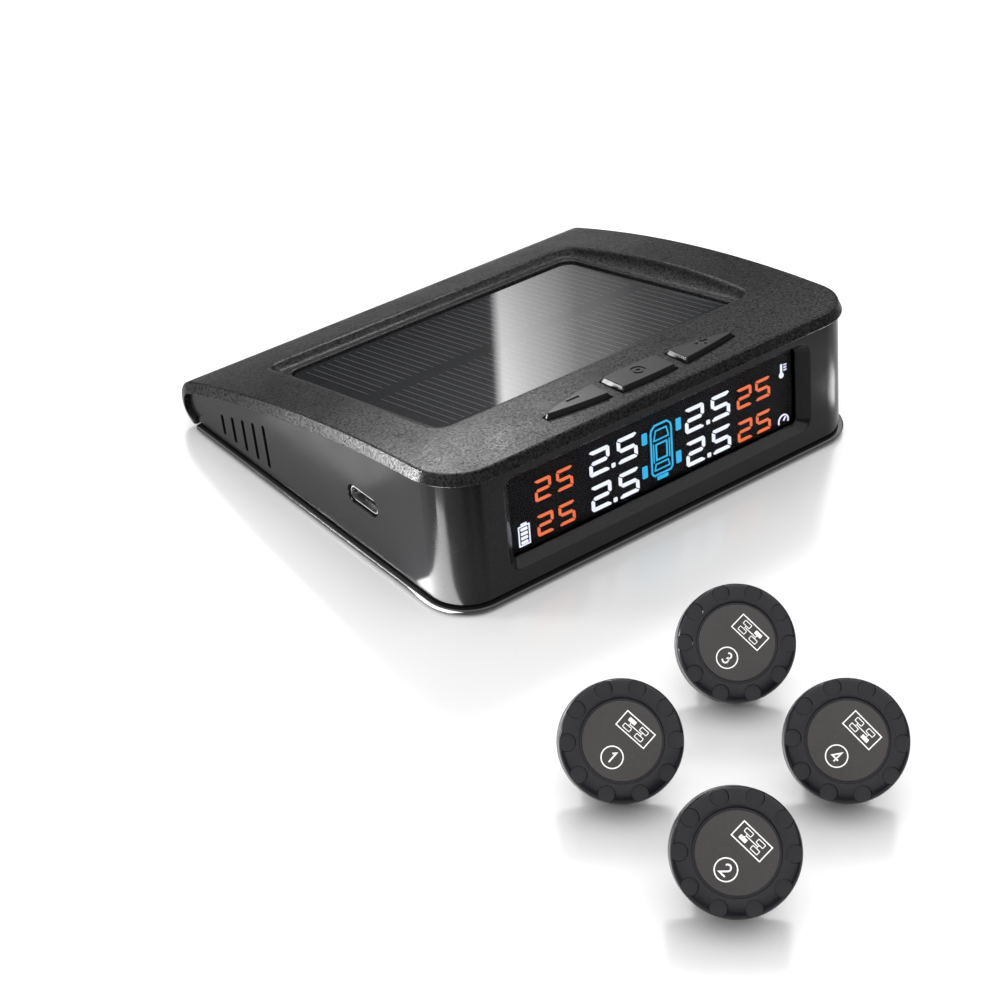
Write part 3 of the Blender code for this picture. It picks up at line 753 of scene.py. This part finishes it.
def make_base():
    """The base plate: a rounded lip all round, a step up inside the walls, and recesses below."""

    def lip(inset, height):
        back = BASE_BACK - inset * 0.75
        outline = plan_outline(HALF_WIDTH - inset, BASE_FRONT + inset, back, CORNER - inset)
        return [(x, y, height) for x, y in outline]

    profile = [(0.5, 0.4), (0.2, 0.44), (0.06, 0.55), (0.0, 0.72), (0.0, 0.98), (0.06, 1.15), (0.2, 1.26)]
    profile += [(0.42, 1.3), (3.0, 1.3), (3.0, 2.38), (3.12, 2.5)]
    base = stacked("base_shell", lip, profile)
    cut(base, prism_z("pad_recess", rounded_rectangle(35.3 * MM, 31.3 * MM, 5.0 * MM), 0.0, 1.3 * MM))
    for x, y in SCREWS.values():
        head = lathe("head_recess", [(0.0, 0.0), (2.6, 0.0), (2.4, 0.6), (2.4, 1.6), (0.0, 1.6)], 40)
        shank = lathe("shank_hole", [(0.0, 0.0), (1.4, 0.0), (1.4, 4.0), (0.0, 4.0)], 24)
        cut(base, placed(head, x, y), placed(shank, x, y))
    adopt(base, "display_unit", "base_black", ["base_plate"])


def make_pad():
    def edge(inset, height):
        outline = rounded_rectangle(35.0 * MM - inset, 31.0 * MM - inset, 4.7 * MM - inset, 12)
        return [(x, y, height) for x, y in outline]

    pad = stacked("grip_pad", edge, [(0.35, 0.0), (0.1, 0.08), (0.0, 0.3), (0.0, 0.9), (0.1, 1.0)])
    adopt(pad, "display_unit", "pad_rubber", ["non_slip_pad"])


def make_screws():
    profile = [(0.0, 0.42), (1.2, 0.42), (1.7, 0.52), (2.0, 0.8), (2.0, 1.3)]
    profile += [(1.0, 1.3), (1.0, 6.0), (0.0, 6.0)]
    for name in ("rear_left", "front_left", "rear_right", "front_right"):
        screw = lathe(f"pan_screw_{name}", profile, 48)
        for turn in (0.0, math.pi / 2.0):
            slot = prism_z("slot", rounded_rectangle(1.25 * MM, 0.24 * MM, 0.1 * MM, 2), 0.0, 1.05 * MM)
            slot.rotation_euler = (0.0, 0.0, turn)
            cut(screw, slot)
        adopt(placed(screw, *SCREWS[name]), "display_unit", "screw_steel", [f"screw_{name}"])


def make_solar_panel():
    def edge(inset, height):
        outline = rounded_rectangle(GLASS_HALF[0] - inset, GLASS_HALF[1] - inset, 2.2 * MM - inset, 10)
        return [panel_point(x, v, height) for x, v in outline]

    profile = [(0.12, -1.0), (0.0, -0.88), (0.0, -0.2), (0.05, -0.08), (0.16, -0.01), (0.24, 0.0)]
    sheet = stacked("panel_glass_sheet", edge, profile)
    adopt(sheet, "display_unit", "panel_glass", ["solar_glass"], angle=4.0)


def make_usb_shell():
    def edge(inset, x):
        outline = socket_outline(3.8 * MM - inset, 1.4 * MM - inset, 1.2 * MM - inset)
        return [(x, y, z) for y, z in outline]

    shell = stacked("socket_shell", edge, [(0.12, -44.7), (0.0, -44.58), (0.0, -38.0)])
    inner = socket_outline(3.5 * MM, 1.1 * MM, 0.9 * MM)
    cut(shell, prism_x("socket_inside", inner, -46.0 * MM, -38.8 * MM))
    adopt(shell, "display_unit", "bright_steel", ["usb_shell"])


# ---- buttons and their symbols


def over_top(name, outline, low, high):
    """A solid between two heights measured from the buttons' arched top."""
    rings = []
    for offset in (low, high):
        rings.append([(x, y, top_height(y) + BUTTON_RISE + offset) for x, y in outline])
    return loft(name, rings)


def bar_outline(centre, half_x, half_y):
    return rounded_rectangle(half_x, half_y, min(half_x, half_y) * 0.3, 3, centre)


def plus_outline(centre, arm, half):
    corners = [(arm, -half), (arm, half), (half, half), (half, arm), (-half, arm), (-half, half)]
    corners += [(-arm, half), (-arm, -half), (-half, -half), (-half, -arm), (half, -arm), (half, -half)]
    return [(centre[0] + x, centre[1] + y) for x, y in corners]


def circle(centre, radius, steps=40):
    return arc(centre, radius, 0, 360, steps)[:-1]


def make_buttons():
    """Three bevelled keys with the lid's curve, each with its symbol sunk in and a dark sheet on the floor of
    the sinking as painted shade.
    """
    half_stroke = 0.3 * MM
    # each symbol: (low, high, is the sheet); a cutter sunk through the key's top, then a thin dark sheet on the
    # cut's floor that paints the recess's shade
    sunk = ((-0.28 * MM, 0.5 * MM, False), (-0.26 * MM, -0.2 * MM, True))
    for name, (low, high) in BUTTON_SPANS.items():
        rings = [[(x, y, 21.7 * MM) for x, y in button_outline(low, high)]]
        for margin, rise in ((0.0, -0.05), (-0.04, 0.1), (-0.3, 0.7), (-0.36, 0.84), (-0.44, 0.9)):
            outline = button_outline(low, high, margin * MM)
            rings.append([(x, y, top_height(y) + rise * MM) for x, y in outline])
        button = loft(f"key_{name}", rings)
        if name == "set":
            centre = (0.0, SYMBOL_Y)
            symbols = [[circle(centre, 1.35 * MM), circle(centre, 0.85 * MM)], [circle(centre, 0.42 * MM)]]
        elif name == "down":
            symbols = [[bar_outline((-14.2 * MM, SYMBOL_Y), 1.35 * MM, half_stroke)]]
        else:
            symbols = [[plus_outline((14.2 * MM, SYMBOL_Y), 1.3 * MM, half_stroke)]]
        for number, loops in enumerate(symbols):
            for low_z, high_z, is_painted_shade in sunk:
                mark = over_top(f"symbol_{name}_{number}", loops[0], low_z, high_z)
                for hole in loops[1:]:
                    cut(mark, over_top("symbol_hole", hole, low_z - MM, high_z + MM))
                # the thin dark sheet stays in the recess as painted shade; the taller piece cuts the symbol
                # into the key
                if is_painted_shade:
                    adopt(mark, f"button_{name}_key", "button_black", finish="symbol_painted_shade")
                else:
                    cut(button, mark)
        adopt(button, f"button_{name}_key", "button_black", [f"button_{name}"], angle=30.0)


# ---- lit display


class Marks:
    """Flat figures drawn as closed outlines in a plane, then raised into one piece."""

    def __init__(self, name, place):
        self.name = name
        self.place = place
        self.points = []
        self.faces = []

    def fill(self, outline):
        """Add one outline as a thin closed slab."""
        count = len(outline)
        start = len(self.points)
        for layer in (0, 1):
            self.points += [self.place(x, y, layer) for x, y in outline]
        self.faces.append(tuple(range(start, start + count)))
        self.faces.append(tuple(range(start + count, start + 2 * count)))
        for step in range(count):
            beside = (step + 1) % count
            self.faces.append((start + step, start + beside, start + count + beside, start + count + step))

    def line(self, route, width):
        """Add an open line with mitred bends."""
        self.fill(ribbon(route, width / 2.0) + ribbon(route, -width / 2.0)[::-1])

    def loop(self, route, width):
        """Add a closed line as one slab with a hole."""
        count = len(route)
        outside = ribbon(route, width / 2.0, True)
        inside = ribbon(route, -width / 2.0, True)
        start = len(self.points)
        for layer in (0, 1):
            for outline in (outside, inside):
                self.points += [self.place(x, y, layer) for x, y in outline]
        for step in range(count):
            beside = (step + 1) % count
            outer, outer_next = start + step, start + beside
            inner, inner_next = outer + count, outer_next + count
            lift = 2 * count
            self.faces.append((outer, outer_next, inner_next, inner))
            self.faces.append((outer + lift, outer_next + lift, inner_next + lift, inner + lift))
            self.faces.append((outer, outer_next, outer_next + lift, outer + lift))
            self.faces.append((inner, inner_next, inner_next + lift, inner + lift))

    def made(self):
        return raw(self.name, self.points, self.faces)


def ribbon(route, offset, closed=False):
    """A route's points moved sideways, with mitred corners."""
    moved = []
    count = len(route)
    for index in range(count):
        point = Vector(route[index])
        before = point - Vector(route[index - 1]) if closed or index > 0 else None
        after = Vector(route[(index + 1) % count]) - point if closed or index < count - 1 else None
        before = after if before is None else before
        after = before if after is None else after
        first = Vector((-before.y, before.x)).normalized()
        second = Vector((-after.y, after.x)).normalized()
        middle = (first + second).normalized()
        moved.append(tuple(point + middle * offset / max(0.4, middle.dot(first))))
    return moved


def on_face(x, height, layer):
    return face_point(x * MM, height * MM, LIT_BACK if layer else LIT_FRONT)


def seven_segment(marks, digit, left, bottom, width, height, stroke):
    """One digit from separate bars with cut ends."""
    gap = stroke * 0.22
    right = left + width
    top = bottom + height
    middle = bottom + height / 2.0
    half = stroke / 2.0
    cut_end = stroke * 0.35
    bars = {
        "g": [
            (left + half + gap, middle),
            (left + stroke + gap, middle + half),
            (right - stroke - gap, middle + half),
            (right - half - gap, middle),
            (right - stroke - gap, middle - half),
            (left + stroke + gap, middle - half),
        ]
    }
    for name, end, side in (("a", top, 1), ("d", bottom, -1)):
        bars[name] = [
            (left + gap, end - side * cut_end),
            (left + cut_end + gap, end),
            (right - cut_end - gap, end),
            (right - gap, end - side * cut_end),
            (right - stroke - gap, end - side * stroke),
            (left + stroke + gap, end - side * stroke),
        ]
    for name, side in (("f", 1), ("b", 1), ("e", -1), ("c", -1)):
        outer = left if name in "fe" else right
        inward = stroke if name in "fe" else -stroke
        end = top if side > 0 else bottom
        bars[name] = [
            (outer, end - side * (cut_end + gap)),
            (outer + inward * 0.02, end - side * (cut_end + gap)),
            (outer + inward, end - side * (stroke + gap)),
            (outer + inward, middle + side * (half + gap)),
            (outer + inward * 0.5, middle + side * gap),
            (outer, middle + side * (half * 0.6 + gap)),
        ]
    for name in DIGITS[digit]:
        marks.fill(bars[name])


def draw_figures(orange, white):
    """Two rows of figures on each side of the car; each pair reads 25, the white ones with a point."""
    for orange_lefts, white_lefts, white_width, point_x, rows in (
        ((-25.6, -21.0), (-14.0, -7.9), 4.4, -8.85, ((13.2, 13.0), (6.8, 6.5))),
        ((19.3, 23.7), (7.3, 13.3), 4.3, 12.5, ((12.75, 12.75), (6.45, 6.45))),
    ):
        for orange_low, white_low in rows:
            for digit, left in zip("25", orange_lefts):
                seven_segment(orange, digit, left, orange_low, 3.4, 3.8, 0.5)
            for digit, left in zip("25", white_lefts):
                seven_segment(white, digit, left, white_low, white_width, 4.6, 0.66)
            white.fill(bar_outline((point_x, white_low + 0.4), 0.38, 0.38))


def draw_icons(white):
    # battery level, bottom left
    white.loop([(-29.5, 6.6), (-27.3, 6.6), (-27.3, 10.1), (-29.5, 10.1)], 0.18)
    white.fill(bar_outline((-28.4, 10.42), 0.6, 0.18))
    for step in range(4):
        white.fill(bar_outline((-28.4, 7.1 + 0.8 * step), 0.68, 0.24))
    # thermometer, top right
    white.fill(circle((29.9, 15.5), 0.52, 20))
    white.line([(29.9, 15.9), (29.9, 17.6)], 0.4)
    for step in range(3):
        white.fill(bar_outline((30.8, 16.3 + 0.5 * step), 0.32, 0.09))
    # pressure gauge, bottom right
    white.line(arc((30.2, 6.6), 1.15, 200, -20, 14), 0.22)
    white.line([(30.2, 6.6), (30.75, 7.3)], 0.22)


def draw_car(cyan):
    """The car from above between its four wheels; its outlines are shares of its width and height."""
    left, low, width, height = -0.5, 7.75, 4.6, 9.3

    def car(*shares):
        return [(left + u * width, low + v * height) for u, v in shares]

    left_side = [(0.2, 1.0), (0.04, 0.93), (0.0, 0.85), (0.0, 0.06), (0.1, 0.0)]
    right_side = [(0.9, 0.0), (1.0, 0.06), (1.0, 0.85), (0.96, 0.93), (0.8, 1.0)]
    cyan.loop(car(*left_side, *right_side), 0.3)
    cyan.loop(car((0.14, 0.7), (0.24, 0.89), (0.76, 0.89), (0.86, 0.7)), 0.2)
    cyan.loop(car((0.24, 0.3), (0.76, 0.3), (0.76, 0.61), (0.24, 0.61)), 0.26)
    cyan.loop(car((0.14, 0.1), (0.86, 0.1), (0.8, 0.22), (0.2, 0.22)), 0.2)
    for side in (0.115, 0.885):
        cyan.line(car((side, 0.26), (side, 0.64)), 0.16)
    cyan.fill(bar_outline((left + width / 2.0, 7.05), 1.2, 0.32))
    for x, bottom, top in ((-1.9, 14.4, 16.5), (-2.1, 8.2, 10.4), (5.75, 14.3, 16.5), (5.55, 8.2, 10.4)):
        cyan.fill(bar_outline((x, (bottom + top) / 2.0), 0.55, (top - bottom) / 2.0))


def make_readouts():
    orange = Marks("readout_warm", on_face)
    white = Marks("readout_white", on_face)
    cyan = Marks("readout_car", on_face)
    draw_figures(orange, white)
    draw_icons(white)
    draw_car(cyan)
    for marks, finish in ((orange, "lit_orange"), (white, "lit_white"), (cyan, "lit_cyan")):
        adopt(marks.made(), "display_unit", "screen_glass", finish=finish, angle=20.0)


def make_window():
    def edge(inset, depth):
        return face_ring(33.4 * MM - inset, 5.2 * MM + inset, 21.0 * MM - inset, 0.6 * MM, depth, 3)

    sheet = stacked("window_sheet", edge, [(0.1, 2.15), (0.0, 2.25), (0.0, 2.95)])
    adopt(sheet, "display_unit", "smoked_window", ["display_window"])


# ---- sensors


def sensor_frame(place):
    """Lift, turn and lean a sensor so that its rim and the end of its neck both touch the table."""
    x, y, yaw = place
    height = SENSOR_RADIUS * math.cos(SENSOR_TILT)
    lift = Matrix.Translation((x * MM, y * MM, height))
    turn = Matrix.Rotation(math.radians(-yaw), 4, "Z")
    lean = Matrix.Rotation(math.pi / 2.0 - SENSOR_TILT, 4, "X")
    return lift @ turn @ lean


def make_cap_mesh():
    """The cap: a rounded rim with ten finger pockets, a groove round the label, hollow below."""
    rim = [(8.9, 2.5), (9.0, 2.6), (9.0, 5.5)]
    rim += [(round(8.0 + x, 3), round(5.9 + y, 3)) for x, y in arc((0.0, 0.0), 1.0, 0, 78, 8)]
    top = [(7.7, 6.98), (7.0, 7.04), (6.25, 7.06), (6.12, 7.0), (6.06, 6.8), (5.6, 6.8), (0.0, 6.8)]
    inside = [(0.0, 5.9), (7.6, 5.9), (7.6, 3.6), (8.55, 3.6), (8.55, 2.5)]
    cap = lathe("sensor_cap_master", rim + top + inside, 160)
    for number in range(POCKETS):
        angle = math.radians(90.0 + 360.0 / POCKETS * (number + 0.5))
        cutter = lathe("pocket", [(0.0, 6.42), (1.22, 6.42), (1.3, 6.5), (1.34, 8.0), (0.0, 8.0)], 40)
        cut(cap, placed(cutter, POCKET_CIRCLE * math.cos(angle), POCKET_CIRCLE * math.sin(angle)))
    return cap


def digit_route(number):
    """The stroke of a numeral, about 1.5 mm tall, centred on its place."""
    if number == 1:
        return [(-0.3, 0.42), (0.08, 0.78), (0.08, -0.78)]
    if number == 2:
        head = arc((0.0, 0.32), 0.44, 165, -40, 9)
        return head + [(-0.48, -0.76), (0.52, -0.76)]
    if number == 3:
        return arc((0.0, 0.38), 0.38, 150, -75, 8) + arc((0.0, -0.34), 0.44, 75, -150, 9)
    return [(0.2, -0.78), (0.2, 0.78), (-0.52, -0.32), (0.56, -0.32)]


def make_print(number):
    """White marks on the label: a framed plan of the four wheels, and the sensor's number in a circle."""
    frame_centre = Vector((1.97, 1.61))
    circle_centre = Vector((-1.5, -2.24))
    cos, sin = math.cos(LABEL_TURN), math.sin(LABEL_TURN)

    def on_label(x, y, layer):
        return (x * MM, y * MM, (LABEL_TOP + 0.03 * layer) * MM)

    def spun(centre, x, y):
        return (centre.x + x * cos - y * sin, centre.y + x * sin + y * cos)

    marks = Marks(f"sensor_{number}_print", on_label)

    box = [(-2.6, -1.28), (2.6, -1.28), (2.6, 1.28), (-2.6, 1.28)]
    marks.loop([spun(frame_centre, x, y) for x, y in box], 0.17)
    for index, (x, y) in enumerate(((-1.1, 0.58), (-1.1, -0.58), (1.1, 0.58), (1.1, -0.58)), start=1):
        outline = [spun(frame_centre, x + px, y + py) for px, py in bar_outline((0.0, 0.0), 0.62, 0.3)]
        if index == number:
            marks.fill(outline)
        else:
            marks.loop(outline, 0.12)
    marks.line([spun(frame_centre, x, 0.0) for x in (-1.1, 1.1)], 0.14)
    for x in (-1.1, 1.1):
        marks.line([spun(frame_centre, x, y) for y in (-0.26, -0.09)], 0.14)
        marks.line([spun(frame_centre, x, y) for y in (0.09, 0.26)], 0.14)
    marks.loop(circle(circle_centre, 1.58, 48), 0.18)
    marks.line([spun(circle_centre, x * 1.05, y * 1.05) for x, y in digit_route(number)], 0.24)
    return marks.made()


def make_sensor_masters():
    """One upright sensor's pieces: (shape, suffix of the body's name, slot, finish)."""
    neck = NECK_LENGTH / MM
    base = [(0.0, 0.0), (4.4, 0.0), (4.4, -neck), (4.8, -neck), (4.9, 0.1 - neck), (4.9, -0.3), (5.2, 0.0)]
    base += [(8.85, 0.0), (9.0, 0.12), (9.0, 2.08), (8.9, 2.2), (7.3, 2.2), (7.3, 4.8), (7.2, 4.9)]
    base += [(6.65, 4.9), (6.55, 4.8), (6.55, 1.2), (0.0, 1.2)]
    insert = [(4.1, -0.3), (4.1, 0.3 - neck), (3.9, 0.3 - neck)]
    pitch = 0.6
    turns = 6
    for step in range(turns):
        start = 0.5 - neck + pitch * step
        insert += [(3.8, start), (3.55, start + pitch / 2.0)]
    insert += [(3.8, 0.5 - neck + pitch * turns), (3.8, -0.3)]
    seal = [(1.3, -1.4), (1.4, -1.5), (3.1, -1.5), (3.25, -1.4), (3.25, -0.3), (1.3, -0.3)]
    disc = [(0.0, 6.83), (5.5, 6.83), (5.7, 6.86), (5.76, 7.0), (5.72, 7.12)]
    disc += [(5.6, LABEL_TOP), (0.0, LABEL_TOP)]
    ring_seal = arc((7.92, 2.87), 0.33, 0, 330, 11)
    return {
        "cap": (make_cap_mesh(), "_lid", "sensor_black", "sensor_black"),
        "label_disc": (lathe("label_disc_master", disc), "_lid", "sensor_black", "label"),
        "base": (lathe("sensor_base_master", base), "", "sensor_black", "sensor_black"),
        "valve_insert": (lathe("valve_insert_master", insert, 72), "", "valve_brass", "valve_brass"),
        "valve_seal": (lathe("valve_seal_master", seal, 60), "", "seal_rubber", "seal_rubber"),
        "cap_seal": (lathe("cap_seal_master", ring_seal, 90), "_seal", "seal_rubber", "seal_rubber"),
    }


def make_sensors():
    masters = make_sensor_masters()
    for number, place in enumerate(SENSOR_PLACES, start=1):
        prefix = f"sensor_{number}"
        where = sensor_frame(place)
        for name, (master, suffix, slot, finish) in masters.items():
            made = shown(f"{prefix}_{name}_fine", master.data.copy())
            made.data.transform(where)
            nodes = [] if finish == "label" else [f"{prefix}_{name}"]
            adopt(made, prefix + suffix, slot, nodes, finish, 30.0)
        marks = make_print(number)
        marks.data.transform(where)
        adopt(marks, f"{prefix}_lid", "sensor_black", (), "print_white", 20.0)
    for master, *_ in masters.values():
        bpy.data.objects.remove(master, do_unlink=True)


# ---- carried-over CAD nodes


def dress_nodes():
    """Every CAD node that still shows gets the procedural material of its slot."""
    slots = {part["node"]: part["material_slot"] for part in frame["record"]["subparts"]}
    for name, node in frame["nodes"].items():
        node.data.materials.clear()
        node.data.materials.append(MATERIALS[slots[name]])


# ---- floor, light and camera


def make_floor():
    half = 3.0
    low = -0.02 * MM
    corners = [(-half, -half, low), (half, -half, low), (half, half, low), (-half, half, low)]
    floor = raw("studio_floor", corners, [(0, 1, 2, 3)])
    made, shader = blank("floor_gloss_white", (0.56, 0.56, 0.56), 0.2)
    shader.inputs["IOR"].default_value = 2.1
    spread_over(made.node_tree, noise(made.node_tree, 0.4, 1.0), 0.17, 0.21, shader.inputs["Roughness"])
    floor.data.materials.append(made)


def aim(item, target):
    item.rotation_euler = (Vector(target) - item.location).to_track_quat("-Z", "Y").to_euler()


def area_light(name, place, target, size, power, spread=180.0):
    light = bpy.data.lights.new(name, "AREA")
    light.spread = math.radians(spread)
    light.shape = "RECTANGLE"
    light.size, light.size_y = size
    light.energy = power
    made = shown(name, light)
    made.location = place
    aim(made, target)
    made.visible_camera = False
    return made


def make_world():
    """Studio surround: dark walls, a bright ceiling, and one card that fades away from a sharp edge."""
    world = bpy.data.worlds.new("studio")
    bpy.context.scene.world = world
    world.use_nodes = True
    tree = world.node_tree
    nodes = tree.nodes
    links = tree.links
    place = nodes.new("ShaderNodeTexCoord")
    split = nodes.new("ShaderNodeSeparateXYZ")
    links.new(place.outputs["Generated"], split.inputs["Vector"])

    def ramp(source, stops):
        made = nodes.new("ShaderNodeValToRGB")
        elements = made.color_ramp.elements
        while len(elements) < len(stops):
            elements.new(0.5)
        for element, (position, value) in zip(elements, stops):
            element.position = position
            element.color = (value, value, value, 1.0)
        links.new(source, made.inputs["Fac"])
        return made.outputs["Color"]

    ceiling = ramp(split.outputs["Z"], CEILING_STOPS)
    across = nodes.new("ShaderNodeVectorMath")
    across.operation = "DOT_PRODUCT"
    across.inputs[1].default_value = CARD_EDGE
    links.new(place.outputs["Generated"], across.inputs[0])
    fade = ramp(across.outputs["Value"], CARD_FADE)
    rise = ramp(split.outputs["Z"], CARD_RISE)
    behind = maths(tree, "GREATER_THAN", split.outputs["Y"], CARD_BEHIND)
    shape = maths(tree, "MULTIPLY", fade, rise)
    card = maths(tree, "MULTIPLY", shape, maths(tree, "MULTIPLY", behind, CARD_LIGHT))
    light = maths(tree, "ADD", card, maths(tree, "MULTIPLY", ceiling, CEILING_LIGHT))
    nodes["Background"].inputs["Color"].default_value = (1.0, 1.0, 1.0, 1.0)
    links.new(light, nodes["Background"].inputs["Strength"])


def make_lights():
    """Two lights for the lid, and upward strips beside the unit that its lower walls mirror."""
    area_light("side_card", (-0.205, 0.112, 0.03), (-0.046, -0.015, 0.02), (0.06, 0.05), 0.043, 30.0)
    area_light("lid_card", (0.065, 0.13, 0.13), (-0.035, -0.03, 0.024), (0.06, 0.06), 0.011, 45.0)
    for name, x, y, size, turn, power in (
        ("left_corner_strip", -0.062, -0.036, (0.034, 0.013), 12.0, 0.034),
        ("right_corner_strip", 0.06, -0.047, (0.014, 0.012), 0.0, 0.007),
        ("left_wall_strip", -0.063, 0.016, (0.014, 0.03), 0.0, 0.003),
    ):
        strip = area_light(name, (x, y, 0.6 * MM), (x, y, 0.1), size, power)
        strip.rotation_euler = (math.pi, 0.0, math.radians(turn))


def make_camera():
    data = bpy.data.cameras.new("camera")
    data.lens = LENS
    data.sensor_width = 36.0
    data.clip_start = 0.01
    data.clip_end = 20.0
    camera = shown("camera", data)
    camera.location = CAMERA_PLACE
    camera.rotation_euler = (math.radians(90.0 - CAMERA_DOWN), 0.0, math.radians(-CAMERA_TURN))
    bpy.context.scene.camera = camera


bpy.context.scene.view_settings.view_transform = "Standard"
make_camera()
make_world()
make_lights()
make_floor()
dress_nodes()
make_cover()
make_housing()
make_base()
make_pad()
make_screws()
make_solar_panel()
make_usb_shell()
make_buttons()
make_window()
make_readouts()
make_sensors()
